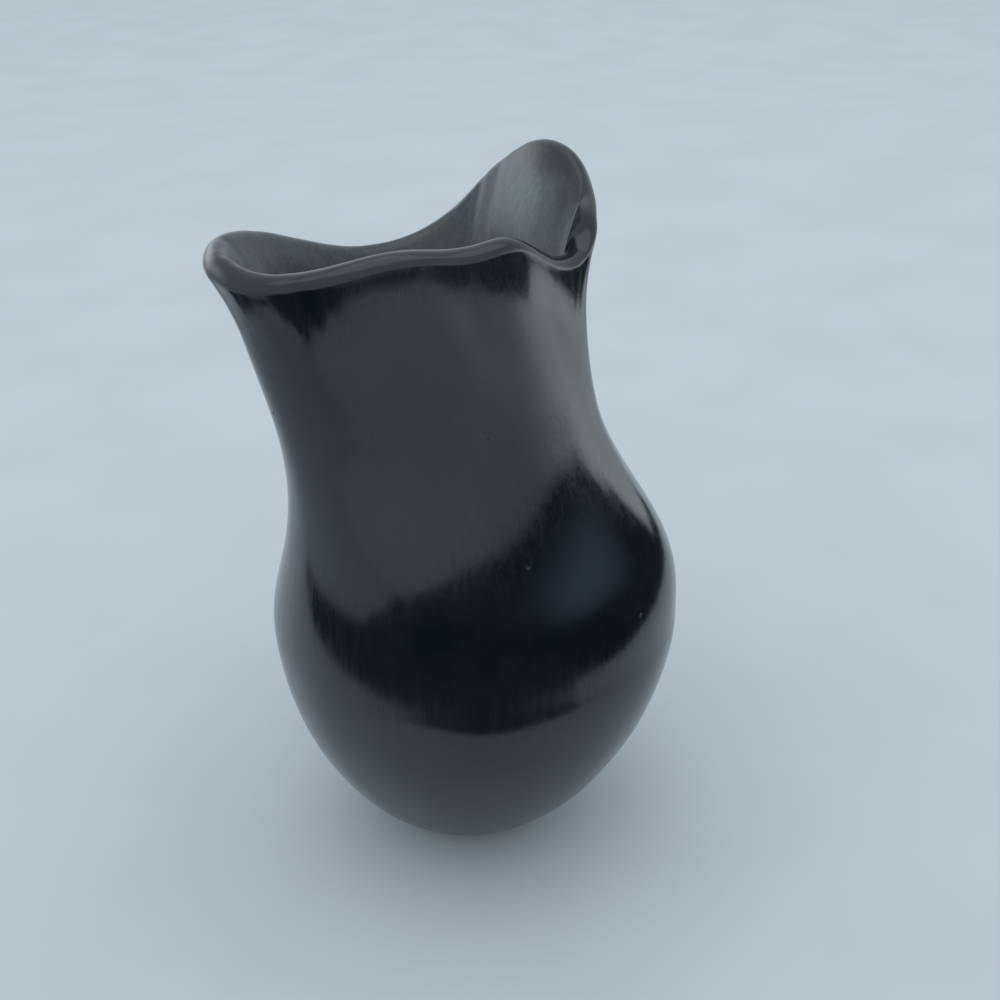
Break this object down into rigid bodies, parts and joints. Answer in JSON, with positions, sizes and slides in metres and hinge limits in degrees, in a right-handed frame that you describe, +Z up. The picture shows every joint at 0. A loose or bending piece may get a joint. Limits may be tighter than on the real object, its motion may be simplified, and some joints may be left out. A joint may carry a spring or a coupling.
{
  "type": "pottery pitcher",
  "caption": "Small black burnished pottery pitcher with a round belly, oval neck, pulled spout, raised lobe and strap handle, for pouring.",
  "frame": {"origin": "middle of the flat foot, on the surface the pitcher stands on", "axes": "+Z up out of the mouth, +X towards the handle, so that the spout points towards -X"},
  "size_m": [0.0827, 0.0779, 0.1301],
  "materials": {
    "burnished_clay": "black, stone-burnished to a soft gloss",
    "handle_clay": "black, burnished less evenly"
  },
  "bodies": {
    "root": {"foot_pad": "burnished_clay", "bowl_coil": "burnished_clay", "lower_belly_coil": "burnished_clay", "belly_coil": "burnished_clay", "upper_belly_coil": "burnished_clay", "shoulder_coil": "burnished_clay", "upper_shoulder_coil": "burnished_clay", "throat_coil": "burnished_clay", "neck_coil": "burnished_clay", "rim_coil": "burnished_clay", "handle_strap": "handle_clay", "upper_lute": "handle_clay", "lower_lute": "handle_clay"}
  },
  "joints": []
}
